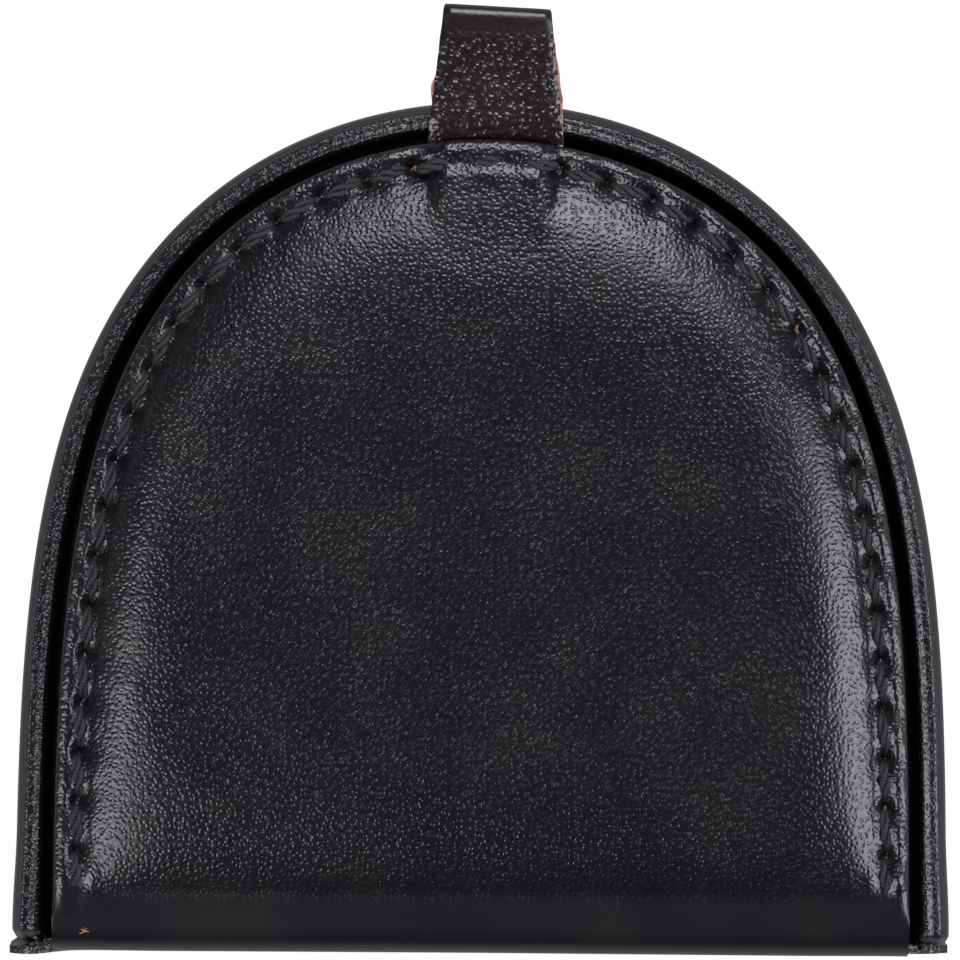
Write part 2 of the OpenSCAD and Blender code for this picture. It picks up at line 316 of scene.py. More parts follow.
def leather(name, colour, worn, group, scale=1.0, depth=0.031, gloss=0.27, kept=None, by_uv=False):
    """Glazed leather. colour is the dye, worn the colour of rubbed spots, depth the
    height of the grain in millimetres and gloss the least roughness. Leather that
    is stretched over an edge loses its grain: kept = (y0, y1, grain at y0, grain
    at y1). by_uv reads the UV map's V in place of the object's y."""
    material, tree, shader = new_material(name)
    link = tree.links.new
    place = node(tree, "ShaderNodeTexCoord", (-1100, 0))
    grain = node(tree, "ShaderNodeGroup", (-700, 0), node_tree=group)
    grain.inputs["Scale"].default_value = scale
    link(place.outputs["Object"], grain.inputs["Vector"])
    if kept is not None:
        axes = node(tree, "ShaderNodeSeparateXYZ", (-950, -200))
        link(place.outputs["UV" if by_uv else "Object"], axes.inputs[0])
        share = ranged(tree, (-900, -200), axes.outputs["Y"], *kept)
        link(share, grain.inputs["Fade"])
    rubbed_share = ranged(tree, (-550, 200), grain.outputs["Blotch"], 0.45, 0.8, 0.0, 0.5)
    link(mixed_colour(tree, (-350, 200), rubbed_share, colour, worn), shader.inputs["Base Color"])
    rough = ranged(tree, (-500, -100), grain.outputs["Blotch"], 0.3, 0.7, gloss - 0.015, gloss + 0.03)
    if kept is not None:
        # stretched leather is a little duller
        dull = ranged(tree, (-700, -300), share, 0.0, 1.0, 0.05, 0.0)
        rough = math_node(tree, (-350, -50), "ADD", rough, dull)
    pore_dull = math_node(tree, (-400, -250), "MULTIPLY", grain.outputs["Pores"], 0.15)
    link(math_node(tree, (-300, -100), "ADD", rough, pore_dull), shader.inputs["Roughness"])
    add_bump(tree, (-250, -350), grain.outputs["Height"], 1.0, depth)
    set_inputs(shader, IOR=1.5)
    return material


dye = (0.0042, 0.0034, 0.0047)
rubbed = (0.0070, 0.0055, 0.0066)
front_leather = leather("front_leather", dye, rubbed, flat_grain,
                        kept=(hinge_y + 3.0 * MM, hinge_y + 6.0 * MM, 0.04, 1.0))
back_leather = leather("back_leather", dye, rubbed, flat_grain,
                       kept=(hinge_y + 2.0 * MM, hinge_y + 3.2 * MM, 0.04, 1.0))
wall_leather = leather("wall_leather", dye, rubbed, round_grain, scale=1.25, depth=0.062, gloss=0.29,
                       kept=(0.385, 0.455, 0.14, 1.0), by_uv=True)
creased_leather = leather("creased_leather", dye, rubbed, round_grain, scale=1.1, depth=0.09, gloss=0.25)
pocket_leather = leather("pocket_leather", dye, rubbed, round_grain, scale=1.2, depth=0.04, gloss=0.40)
tab_leather = leather("tab_leather", (0.0075, 0.0058, 0.0068), (0.013, 0.0095, 0.0095), flat_grain,
                      scale=0.72, depth=0.052, gloss=0.24,
                      kept=(tab_hi.y - 3.4 * MM, tab_hi.y - 2.0 * MM, 1.0, 0.15))
leathers = (front_leather, back_leather, wall_leather, creased_leather, pocket_leather, tab_leather)
print("leathers:", ", ".join(material.name for material in leathers))

# %% Raw edge, thread, cloth, board and felt materials


def fibrous(name, colour, other, scale, depth, gloss, stretch=(1, 1, 1)):
    """A dull, fibrous surface: two colours mixed by noise, and fine relief. depth is
    in millimetres and gloss the least roughness."""
    material, tree, shader = new_material(name)
    link = tree.links.new
    place = node(tree, "ShaderNodeTexCoord", (-1000, 0))
    mapping = node(tree, "ShaderNodeMapping", (-800, 0))
    mapping.inputs["Scale"].default_value = stretch
    link(place.outputs["Object"], mapping.inputs["Vector"])
    fibres = noise_node(tree, (-600, 0), scale, Detail=4.0, Roughness=0.65)
    link(mapping.outputs[0], fibres.inputs["Vector"])
    tone = ranged(tree, (-450, 150), fibres.outputs["Fac"], 0.35, 0.65, 0.0, 1.0)
    link(mixed_colour(tree, (-300, 150), tone, colour, other), shader.inputs["Base Color"])
    rough = ranged(tree, (-300, -80), fibres.outputs["Fac"], 0.3, 0.7, gloss, gloss + 0.15)
    link(rough, shader.inputs["Roughness"])
    add_bump(tree, (-300, -250), fibres.outputs["Fac"], 0.8, depth)
    set_inputs(shader, IOR=1.35)
    return material


def woven(name, colour, light, thread):
    """Plain weave: two sets of waves cross, each over the other in turn."""
    material, tree, shader = new_material(name)
    link = tree.links.new
    place = node(tree, "ShaderNodeTexCoord", (-1300, 0))
    axes = node(tree, "ShaderNodeSeparateXYZ", (-1100, 0))
    link(place.outputs["Object"], axes.inputs[0])
    turns = math.pi / (thread * MM)
    x = math_node(tree, (-900, 150), "MULTIPLY", axes.outputs["X"], turns)
    # along the cloth, which runs flat and then up the spine
    y = math_node(tree, (-1000, -100), "ADD", axes.outputs["Y"], axes.outputs["Z"])
    y = math_node(tree, (-900, -50), "MULTIPLY", y, turns)
    warp = math_node(tree, (-700, 150), "ABSOLUTE", math_node(tree, (-800, 150), "SINE", x))
    weft = math_node(tree, (-700, -50), "ABSOLUTE", math_node(tree, (-800, -50), "SINE", y))
    x_turn = math_node(tree, (-650, 250), "COSINE", x)
    y_turn = math_node(tree, (-650, -200), "COSINE", y)
    over = math_node(tree, (-550, 50), "MULTIPLY", x_turn, y_turn)
    lifted = math_node(tree, (-400, 50), "MULTIPLY", over, 0.25)
    height = math_node(tree, (-350, 200), "MULTIPLY", warp, weft)
    height = math_node(tree, (-250, 50), "ADD", height, lifted)
    # painted shade: the raised threads take the lighter colour and the dips between them the darker one
    tone = ranged(tree, (-200, 250), height, 0.0, 1.0, 0.0, 1.0)
    link(mixed_colour(tree, (-100, 200), tone, colour, light), shader.inputs["Base Color"])
    add_bump(tree, (-100, -150), height, 0.7, 0.05)
    set_inputs(shader, Roughness=0.62, Sheen_Weight=0.3)
    return material


def twisted_thread(name, colour, light):
    """Waxed thread: its plies and fibres run round it, so the pattern follows UV."""
    material, tree, shader = new_material(name)
    link = tree.links.new
    place = node(tree, "ShaderNodeUVMap", (-1000, 0), uv_map="UVMap")
    mapping = node(tree, "ShaderNodeMapping", (-800, 0))
    mapping.inputs["Scale"].default_value = (1.0, 0.55, 1.0)
    mapping.inputs["Rotation"].default_value = (0, 0, math.radians(28))
    link(place.outputs["UV"], mapping.inputs["Vector"])
    fibres = node(tree, "ShaderNodeTexWave", (-600, 0))
    set_inputs(fibres, Scale=5.0, Distortion=2.2, Detail=2.0, Detail_Scale=2.0)
    link(mapping.outputs[0], fibres.inputs["Vector"])
    tone = mixed_colour(tree, (-300, 150), fibres.outputs["Fac"], colour, light)
    link(tone, shader.inputs["Base Color"])
    add_bump(tree, (-300, -200), fibres.outputs["Fac"], 0.6, 0.05)
    rough = ranged(tree, (-300, -50), fibres.outputs["Fac"], 0.0, 1.0, 0.75, 0.6)
    link(rough, shader.inputs["Roughness"])
    return material


layered = (1, 1, 0.4)  # the fibres of a cut edge lie in layers
black_edge = fibrous("black_raw_edge", (0.005, 0.004, 0.005), (0.014, 0.011, 0.010),
                     2600.0, 0.08, 0.62, layered)
worn_edge = fibrous("worn_raw_edge", (0.012, 0.009, 0.008), (0.050, 0.036, 0.030),
                    2600.0, 0.06, 0.6, layered)
tan_edge = fibrous("tan_raw_edge", (0.42, 0.22, 0.15), (0.16, 0.075, 0.05), 2300.0, 0.06, 0.7)
tan_fibre = fibrous("tan_fibre", (0.40, 0.22, 0.10), (0.20, 0.10, 0.05), 3000.0, 0.03, 0.6)
lining_cloth = woven("black_lining", (0.008, 0.008, 0.010), (0.022, 0.022, 0.026), 0.32)
board = fibrous("grey_board", (0.22, 0.17, 0.12), (0.30, 0.24, 0.17), 1500.0, 0.04, 0.8)
felt = fibrous("felt_padding", (0.09, 0.09, 0.10), (0.16, 0.16, 0.17), 1800.0, 0.12, 0.85)
thread = twisted_thread("waxed_thread", (0.0022, 0.0034, 0.0037), (0.0055, 0.0088, 0.0094))
print(len(bpy.data.materials), "materials")

# %% [markdown]
# ## One grid for every horseshoe
#
# The front, the back, the pocket's cover, the pad and both linings have the same
# horseshoe outline. A plain grid is bent into it: rings of the grid follow the
# outline, closely spaced in a band along the edge where the sewing is, and the
# rows past the hinge line go round the turn of the leather. So one operator,
# create_grid, makes them all, and the quads stay even enough for fine relief.

# %% Bend a grid into a horseshoe
CORNER = 0.27  # share of the outline from the hinge to where the grid's corner sits


def bend_grid(u, v, edge, half, band, band_rows):
    """Places the grid's points: u runs from -1 to 1 across, v from 0 at the hinge
    line to 1 at the crown. Returns [x, y] and the depth in from the edge."""
    ring = np.maximum(np.abs(u), v)
    safe = np.maximum(ring, 1e-9)
    side = CORNER * v / safe
    top = 0.5 - (u / safe) * (0.5 - CORNER)
    f = np.where(v >= np.abs(u), top, np.where(u > 0, side, 1 - side))
    rows_in = (1 - ring) * half
    depth = band * np.minimum(rows_in / band_rows, 1) ** 1.25
    p, _ = edge.at(f * edge.length, depth)
    shrink = np.where(rows_in <= band_rows, 1.0, (half - rows_in) / (half - band_rows))
    middle = np.array([0.0, edge.y0])
    return middle + (p - middle) * shrink[:, None], depth


def arc(cy, cz, r, start, end, steps):
    """Points [y, z] on an arc, angles in degrees."""
    a = np.radians(np.linspace(start, end, steps))
    return np.stack([cy + r * np.cos(a), cz + r * np.sin(a)], 1)


def resample(path, count):
    """The same path in count equal steps."""
    step = np.linalg.norm(np.diff(path, axis=0), axis=1)
    s = np.concatenate([[0], np.cumsum(step)])
    at = np.linspace(0, s[-1], count + 1)
    return np.stack([np.interp(at, s, path[:, k]) for k in range(path.shape[1])], 1)


def grid_shape(cells_u, cells_v, place):
    """A bmesh grid whose points go where place(u, v) says, u and v from 0 to 1."""
    bm = bmesh.new()
    bm.loops.layers.uv.new("UVMap")
    bmesh.ops.create_grid(bm, x_segments=cells_u, y_segments=cells_v, size=0.5, calc_uvs=True)
    uv = np.array([v.co[:2] for v in bm.verts]) + 0.5
    for vert, p in zip(bm.verts, place(uv[:, 0], uv[:, 1])):
        vert.co = p
    return bm


SPINE_OUT = 0.30 * MM  # the turned leather stands a little proud of the hinge plane


def spine_bow(x, z):
    """The two ends of the spine flare out into feet, the left one further."""
    flare = np.where(x < 0, 0.75, 0.15) * MM * smooth(np.abs(x), 31.0 * MM, 37.0 * MM)
    foot_top = 13 * MM
    return flare * np.sin(math.pi * np.clip(z / foot_top, 0, 1)) ** 0.7


def horseshoe(edge, z, relief, turn=None, half=60, band=8 * MM, band_rows=16, turn_rows=0,
              widths=None, bow=False):
    """A horseshoe sheet at height z plus relief(x, y, depth). half is its number of
    rings, of which band_rows lie in the band along the edge. turn is the path
    [y, z] that the sheet follows past the hinge line in turn_rows rows, and widths
    its half width there, by height. bow gives the spine its feet."""
    rows = half + turn_rows

    def place(gu, gv):
        u = np.round(gu * 2 * half - half) / half
        row = np.round(gv * rows) - turn_rows
        v = np.maximum(row, 0) / half
        xy, depth = bend_grid(u, v, edge, half, band, band_rows)
        height = relief(xy[:, 0], xy[:, 1], depth)
        out = np.column_stack([xy, z + height])
        if turn_rows:
            path = resample(turn, turn_rows)
            k = np.clip(-row, 0, turn_rows).astype(int)
            below = k > 0
            offset = path[k] - path[0]
            run = np.linalg.norm(path[1] - path[0])
            out[below, 1] += offset[below, 0]
            out[below, 2] += offset[below, 1] - (height * smooth(k * run, 0, 1.6 * MM))[below]
            if widths is not None:
                wide = np.interp(out[:, 2], widths[0], widths[1]) / edge.points[0, 0]
                out[below, 0] *= wide[below]
            if bow:
                out[below, 1] -= spine_bow(out[below, 0], out[below, 2])
                foot = smooth(np.abs(out[below, 0]), 34.6 * MM, 37.5 * MM)
                out[below, 0] -= 0.15 * MM * foot
        return out

    return grid_shape(2 * half, rows, place)


def make_piece(bm, name, materials, thickness=0.0, edge_round=0.0, rim_slot=0, flip=False):
    """Turns a bmesh into an object and gives a sheet its thickness, away from the
    side that it faces. rim_slot is the material of the cut edge."""
    if flip:
        bmesh.ops.reverse_faces(bm, faces=bm.faces[:])
    for face in bm.faces:
        face.smooth = True
    mesh = bpy.data.meshes.new(name)
    bm.to_mesh(mesh)
    bm.free()
    obj = bpy.data.objects.new(name, mesh)
    bpy.context.scene.collection.objects.link(obj)
    for material in materials:
        mesh.materials.append(material)
    if thickness:
        thicken(obj, thickness, -1, rim_slot)
    if edge_round:
        round_edges(obj, edge_round)
    if obj.modifiers:
        apply_modifiers(obj)
    return obj


def thicken(obj, thickness, offset, rim_slot):
    """offset is -1 to thicken a sheet inwards and 0 to thicken it both ways."""
    solid = obj.modifiers.new("thickness", "SOLIDIFY")
    solid.thickness = thickness
    solid.offset = offset
    solid.material_offset_rim = rim_slot
    return solid


def round_edges(obj, width):
    bevel = obj.modifiers.new("rounded edge", "BEVEL")
    bevel.width = width
    bevel.segments = 2
    bevel.angle_limit = math.radians(65)


def apply_modifiers(obj):
    graph = bpy.context.evaluated_depsgraph_get()
    done = bpy.data.meshes.new_from_object(obj.evaluated_get(graph))
    old, done.name = obj.data, obj.data.name
    obj.modifiers.clear()
    obj.data = done
    bpy.data.meshes.remove(old)


def level(x, y, depth):
    return np.zeros(len(x))


def shape_feet(obj):
    """The spine's ends are pared thin, and creased leather covers their edge."""
    for vert in obj.data.vertices:
        if vert.co.y < hinge_y + 1.8 * MM:
            x, z = np.array([vert.co.x]), np.array([vert.co.z])
            outer = hinge_y - SPINE_OUT - float(spine_bow(x, z)[0])
            thin = 0.5 * float(smooth(abs(vert.co.x), 35.0 * MM, 38.2 * MM))
            vert.co.y = outer + (vert.co.y - outer) * (1 - thin)
    for face in obj.data.polygons:
        if face.material_index == 1 and face.center.y < hinge_y + 1.9 * MM:
            face.material_index = 2


feet = spine_bow(np.array([-half_w, half_w]), np.full(2, mid_spine_z)) / MM
print(f"the spine's feet flare by {feet[0]:.2f} mm on the left and {feet[1]:.2f} mm on the right")

# %% [markdown]
# ## Stitch rows
#
# The row of holes sets everything else along a seam: where the thread dives,
# where the leather is pulled in and where it puckers. So the holes are placed
# first, evenly along a line that runs parallel to the leather's edge.

# %% Place the holes
stitch_pitch = 3.9 * MM
front_seam, back_seam, cover_seam = 2.0 * MM, 4.75 * MM, 2.8 * MM  # in from each leather's edge


def holes_along(inset, y0):
    line = Edge(inset, y0)
    count = round(line.length / stitch_pitch)
    return line.at(np.linspace(0, line.length, count + 1))[0]


front_holes = holes_along(panel_inset + front_seam, hinge_y + front_roll_r)
tray_holes = holes_along(back_seam, hinge_y + back_roll_r + 2 * MM)
cover_holes = holes_along(pocket_inset + cover_seam, hinge_y + 11 * MM)


def hole_distance(x, y, holes):
    """For each point: the distance to the nearest hole."""
    p = np.stack([x, y], 1)
    nearest = np.full(len(p), 1e9)
    for hole in holes:
        nearest = np.minimum(nearest, np.linalg.norm(p - hole, axis=1))
    return nearest


print(len(front_holes), "front holes,", len(tray_holes), "tray holes,", len(cover_holes), "cover holes")

# %% [markdown]
# ## The padding under the front
#
# A pad of felt lies under the front leather, inside the seam. Leather that is
# sewn down round a pad takes the shape of a blown-up skin, so a cloth
# simulation finds it: a sheet is held along the seam and swells under pressure.
# The solver likes cloth of a metre or so, so the sheet is simulated at twenty
# times its size and scaled back.

# %% Simulate the swelling
pad_edge = Edge(panel_inset + 2.9 * MM, hinge_y + front_roll_r + 0.5 * MM)
pad_steepness = 3.8  # leather over a full pad rises faster beside the seam than thin cloth
BIG = 20.0
cloth_frames = 20


def swell(half=30):
    """Heights of the swollen front, as a BVH tree to sample, 0 at the seam to 1."""
    bm = horseshoe(pad_edge, 0, level, half=half, band=6 * MM, band_rows=8)
    bmesh.ops.scale(bm, vec=(BIG, BIG, BIG), verts=bm.verts)
    rim = [v.index for v in bm.verts if v.is_boundary]
    mesh = bpy.data.meshes.new("swelling")
    bm.to_mesh(mesh)
    bm.free()
    obj = bpy.data.objects.new("swelling", mesh)
    bpy.context.scene.collection.objects.link(obj)
    obj.vertex_groups.new(name="sewn").add(rim, 1.0, "REPLACE")
    cloth = obj.modifiers.new("cloth", "CLOTH")
    values = cloth.settings
    values.quality = 6
    values.mass = 0.3
    values.tension_stiffness = values.compression_stiffness = 12
    values.bending_stiffness = 4
    values.air_damping = 6
    values.vertex_group_mass = "sewn"
    values.use_pressure = True
    values.uniform_pressure_force = 4.0
    values.effector_weights.gravity = 0.0
    cloth.collision_settings.use_self_collision = False
    cloth.point_cache.frame_start, cloth.point_cache.frame_end = 1, cloth_frames
    scene = bpy.context.scene
    for step in range(1, cloth_frames + 1):
        scene.frame_set(step)
    apply_modifiers(obj)
    scene.frame_set(1)
    obj.modifiers.new("finer", "SUBSURF").levels = 1
    obj.modifiers["finer"].render_levels = 1
    apply_modifiers(obj)
    co = np.array([v.co for v in obj.data.vertices]) / BIG
    if co[:, 2].mean() < 0:
        co[:, 2] *= -1
    print(f"the sheet swelled {co[:, 2].max() / MM:.1f} mm")
    co[:, 2] /= co[:, 2].max()
    tree = BVHTree.FromPolygons([Vector(p) for p in co], [p.vertices[:] for p in obj.data.polygons])
    bpy.data.objects.remove(obj)
    return tree


swollen = swell()


def pad_height(x, y):
    """How far the front stands up at each point, from 0 at the seam to 1."""
    if swollen is None:
        up = np.maximum(y - hinge_y + base_drop, 0) / (curve_h - 6 * MM)
        seam = (x / (half_w - 6 * MM)) ** 2 + up**shoulder_power
        ramp = np.clip((y - hinge_y - 4 * MM) / (12 * MM), 0, 1)
        raw = np.clip(1 - seam**2, 0, 1) * (1 - (1 - ramp) ** 2)
    else:
        down = Vector((0, 0, -1))
        raw = np.zeros(len(x))
        for i, (px, py) in enumerate(zip(x, y)):
            hit = swollen.ray_cast(Vector((px, py, 1.0)), down)[0]
            raw[i] = hit.z if hit is not None else 0.0
    return 1 - (1 - np.clip(raw, 0, 1)) ** pad_steepness


halfway = pad_height(np.array([17 * MM]), np.array([hinge_y + 35 * MM]))[0]
print(f"height halfway to the seam: {halfway:.2f}")

# %% [markdown]
# ## The front leather
#
# The front starts halfway up the spine, turns over the front crease in a soft
# roll and runs up to the crown. It is smooth where it is stretched over the
# roll, stands up over the padding, and is pulled into a channel by the thread.
# Each hole is a small pit with a raised lip. Its cut edge shows as a thin line.

# %% Shape the front leather
margin_inset = panel_inset + 0.2 * MM
cut_round = 0.16 * MM  # how far the outer leathers' cut edges are rounded
front_edge = Edge(margin_inset, hinge_y + front_roll_r)


def seam_field(x, y, holes):
    """For each point: how far it is from the nearest hole, along the seam and across
    it (positive towards the purse's middle)."""
    p = np.stack([x, y], 1)
    best = np.full(len(p), 1e9)
    along, across = np.zeros(len(p)), np.zeros(len(p))
    for i, hole in enumerate(holes):
        way = holes[min(i + 1, len(holes) - 1)] - holes[max(i - 1, 0)]
        way = way / np.linalg.norm(way)
        d = p - hole
        near = np.einsum("ij,ij->i", d, d)
        closer = near < best
        best[closer] = near[closer]
        along[closer] = (d @ way)[closer]
        across[closer] = (d @ np.array([-way[1], way[0]]))[closer]
    return along, across


def bell(x, width):
    return np.exp(-((x / width) ** 2))


def front_relief(x, y, depth):
    near_crown = smooth(y, panel_end - 12.5 * MM, panel_end - 7.5 * MM)
    over_tail = (1 - smooth(np.abs(x - tab_x + 0.2 * MM), 3.7 * MM, 5.3 * MM)) * near_crown
    flatter = 1 - 0.75 * over_tail
    points = np.stack([x, y], 1)
    pad = crown_rise * pad_height(x, y)
    z = pad.copy()
    # the sewn channel: the thread pulls the leather down between margin and pad
    along, across = seam_field(x, y, front_holes)
    free = smooth(y, hinge_y + front_roll_r + 0.2 * MM, hinge_y + front_roll_r + 1.8 * MM)
    sway = 0.14 * MM * np.sin(along / (stitch_pitch / 2) * math.pi)
    z -= (0.04 + 0.20 * free) * flatter * MM * bell(depth - 2.05 * MM + sway, 0.60 * MM)
    # pits at the holes, with a lip on the outer side and a fuller edge inside
    z -= (0.05 + 0.90 * free) * flatter * MM * bell(along, 0.62 * MM) * bell(across, 0.50 * MM)
    z += free * 0.10 * MM * bell(along, 0.60 * MM) * bell(across + 0.88 * MM, 0.20 * MM)
    # between two holes the margin and the leather inside the seam puff up
    between = np.abs(along) - stitch_pitch / 2
    puff = 0.12 + 0.24 * smooth(x, -15 * MM, 20 * MM)
    puff = puff * (1 + 0.7 * ripple(points, 7 * MM, 14.0)) * (1 - over_tail)
    z += free * puff * MM * bell(between, 1.15 * MM) * bell(depth - 0.90 * MM, 0.65 * MM)
    z += free * 0.16 * MM * bell(between, 0.9 * MM) * bell(across - 1.15 * MM, 0.5 * MM)
    # the cut edge is rounded, and the tab's end lifts the leather over it
    round_r = 0.40 * MM
    inside = np.clip(round_r - depth, 0, round_r)
    z -= 0.8 * (round_r - np.sqrt(round_r**2 - inside**2))
    z -= 0.20 * MM * (1 - smooth(depth, 0, 0.8 * MM))
    ramp = 0.82 * MM + 0.13 * (panel_end - y)
    z += over_tail * (ramp - pad)
    # slow waves and small creases
    z += 0.05 * MM * ripple(points, 5 * MM, 3.0) * smooth(depth, 0.5 * MM, 4 * MM)
    z += 0.03 * MM * ripple(points, 1.6 * MM, 6.0)
    return z


def soft_turn(cy, cz, r, top, power, steps=28):
    """A turn fuller than a circle. top is 1 at the front and -1 at the back."""
    a = np.radians(np.linspace(0, 90, steps))
    y = cy - (r + SPINE_OUT) * np.sin(a) ** (2 / power)
    z = cz + top * r * np.cos(a) ** (2 / power)
    return np.concatenate([np.stack([y, z], 1), [[hinge_y - SPINE_OUT, mid_spine_z]]])


front_turn = soft_turn(hinge_y + front_roll_r, front_z - front_roll_r, front_roll_r, 1, 3.0)
foot_w = half_w + 0.7 * MM
spine_widths = ([0, 2.5 * MM, 5.5 * MM, 6.6 * MM, 8.4 * MM],  # heights, then half widths
                [half_w, foot_w, foot_w, half_w - 0.4 * MM, half_w - margin_inset])
bm = horseshoe(front_edge, front_z, front_relief, turn=front_turn, half=112, band_rows=34,
               turn_rows=34, widths=spine_widths, bow=True)
front_skin = make_piece(bm, "front_skin", [front_leather, worn_edge, creased_leather],
                        leather_t, cut_round, 1)
shape_feet(front_skin)
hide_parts("front_panel")
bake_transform(front_skin)
print("front leather:", len(front_skin.data.polygons), "faces")

# %% Shape the felt padding


def pad_relief(x, y, depth):
    return np.maximum(crown_rise * pad_height(x, y) - 0.1 * MM, 0.02 * MM) * smooth(depth, 0, 1.2 * MM)


wadding_edge = Edge(panel_inset + 4.2 * MM, hinge_y + front_roll_r + 2.2 * MM)
bm = horseshoe(wadding_edge, flange_top, pad_relief, half=48)
under = bmesh.ops.duplicate(bm, geom=bm.verts[:] + bm.edges[:] + bm.faces[:])["geom"]
for vert in (g for g in under if isinstance(g, bmesh.types.BMVert)):
    vert.co.z = flange_top
bmesh.ops.reverse_faces(bm, faces=[g for g in under if isinstance(g, bmesh.types.BMFace)])
bmesh.ops.remove_doubles(bm, verts=bm.verts[:], dist=1e-6)
front_wadding = make_piece(bm, "front_wadding", [felt])
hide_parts("front_padding")
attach(front_wadding, "coin_pocket")
print("padding:", len(front_wadding.data.polygons), "faces")

# %% [markdown]
# ## The back leather
#
# The same wrap of leather goes on down the spine, turns under at the back
# crease and forms the tray's back. The turn is tighter here. A second row of
# stitches holds the tray's wall to it, sunk in a channel, so that the purse
# stands flat.

# %% Shape the back leather
back_edge = Edge(0, hinge_y + back_roll_r)


def back_relief(x, y, depth):
    z = 0.42 * MM * bell(depth - back_seam, 0.7 * MM)
    z += 0.5 * MM * bell(hole_distance(x, y, tray_holes), 0.55 * MM)
    z += 0.30 * MM * (1 - smooth(depth, 0, 0.9 * MM)) ** 2
    points = np.stack([x, y], 1)
    return z + 0.03 * MM * (1 + ripple(points, 9 * MM, 5.0))


back_turn = soft_turn(hinge_y + back_roll_r, back_roll_r, back_roll_r, -1, 2.2)
bm = horseshoe(back_edge, 0, back_relief, turn=back_turn, half=84, band_rows=26, turn_rows=24,
               widths=spine_widths, bow=True)
back_skin = make_piece(bm, "back_skin", [back_leather, worn_edge, creased_leather],
                       leather_t, cut_round, 1, flip=True)
shape_feet(back_skin)
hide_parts("back_panel", "spine_panel")
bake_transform(back_skin)
print("back leather:", len(back_skin.data.polygons), "faces")

# %% [markdown]
# ## The walls
#
# Each half has a stiff wall: a strip of board with thin leather folded over it.
# On the tray the fold is the rim that shows as a ring. Folded leather bunches,
# so the rim has a rough inner ridge, a shallow valley and a slow waver. At the
# hinge the leather folds in over the ends of the wall.

# %% Sweep a wall along the outline


def sweep_wall(edge, section, steps, shift, cap=0.0, limit=1.0):
    """A strip whose section is a path of [depth, z] points. shift(s, k, depth, z)
    moves the section's points along the way. cap is the length that folds in over
    each end of the wall, no deeper than limit."""

    def place(gu, gv):
        run = (edge.length + 2 * cap) * gu - cap
        s = np.clip(run, 0, edge.length)
        k = np.round(gv * (len(section) - 1)).astype(int)
        depth, z = shift(s, k, section[k, 0].copy(), section[k, 1].copy())
        depth = np.maximum(depth, np.minimum(depth + np.abs(run - s), limit))
        xy, _ = edge.at(s, depth)
        return np.column_stack([xy, z])

    return grid_shape(steps, len(section) - 1, place)


def faces_in(bm):
    """True if a swept wall's first faces look towards the purse's middle."""
    bm.normal_update()
    return all(face.normal.dot(face.calc_center_median()) < 0 for face in list(bm.faces)[:3])


def from_end(s, edge):
    return np.minimum(s, edge.length - s)


tray_edge = Edge(0, hinge_y + 0.6 * MM)
rim_r = wall_t / 2
side_rows, roll_rows = 10, 21  # rows of each side of the wall, and of the roll between them
roll_first = side_rows
wall_last = 2 * side_rows + roll_rows - 1
roll_angles = np.radians(np.linspace(180, 0, roll_rows))
across, rise = np.cos(roll_angles), np.sin(roll_angles)
roll = np.stack([rim_r + rim_r * np.sign(across) * np.abs(across) ** 0.8,
                 tray_h - rim_r + rim_r * rise**0.8], 1)
roll[:, 1] -= 0.90 * MM * (1 - roll[:, 0] / wall_t) * rise**0.5
outer_half = roll_angles > math.pi / 2
roll[outer_half, 1] -= 1.6 * MM * (1 - rise[outer_half] ** 0.8)
outer_z = np.linspace(1.2 * MM, tray_h - rim_r - 2.2 * MM, side_rows)
inner_z = np.linspace(tray_h - rim_r - 0.6 * MM, 2.3 * MM, side_rows)
flange = [[wall_t + 0.25 * MM, 2.05 * MM], [wall_t + 2.5 * MM, 2.0 * MM], [wall_t + 5.4 * MM, 2.0 * MM]]
tray_section = np.concatenate([
    np.stack([np.zeros(side_rows), outer_z], 1),
    roll,
    np.stack([np.full(side_rows, wall_t), inner_z], 1),
    flange,
])


def tray_shift(s, k, depth, z):
    along = np.stack([s, np.zeros(len(s))], 1)
    turned = k - roll_first
    angle = np.clip(turned / (roll_rows - 1), 0, 1)  # 0 outside, 1 inside, over the roll
    on_roll = (turned >= 0) & (turned < roll_rows)
    on_wall = k <= wall_last
    waver = ripple(along, 7 * MM, 1.0)
    fine = ripple(np.stack([s, angle * 3.2 * MM], 1), 0.55 * MM, 2.0)
    low_left = smooth(s, tray_edge.length - 60 * MM, tray_edge.length - 25 * MM)
    outer_ridge = bell(angle - 0.47, 0.06) * (0.25 + 0.75 * low_left)
    inner_ridge = bell(angle - 0.69, 0.07)
    valley = bell(angle - 0.565, 0.05) + 0.4 * bell(angle - 0.36, 0.06)
    strength = 0.14 + 0.05 * ripple(along, 16 * MM, 4.0)
    rough = smooth(angle, 0.38, 0.46)
    lift = (strength * (outer_ridge + inner_ridge - valley) + 0.045 * fine * rough + 0.06 * waver) * MM
    z += np.where(on_roll, lift - 0.10 * MM, 0)
    thicker = np.where((turned >= 12) & on_wall, 0.25 * MM, 0)
    depth += thicker + np.where(on_roll & (turned > 12), 0.06 * MM * fine, 0)
    depth += np.where(turned < 0, 0.05 * MM * (waver + 1) * np.clip(z / tray_h, 0, 1), 0)
    # towards the hinge the outside swells a little, and the very ends are pinched
    near_end = 1 - smooth(from_end(s, tray_edge), 1.0 * MM, 9.0 * MM)
    depth -= np.where(turned <= 14, 0.25 * MM * near_end, 0)
    pinch = 1 - smooth(from_end(s, tray_edge), 0.0, 0.8 * MM)
    depth = np.where(on_wall, rim_r + (depth - rim_r) * (1 - 0.18 * pinch), depth)
    z = np.where(on_wall, z * (1 - 0.10 * pinch), z)
    return depth, z


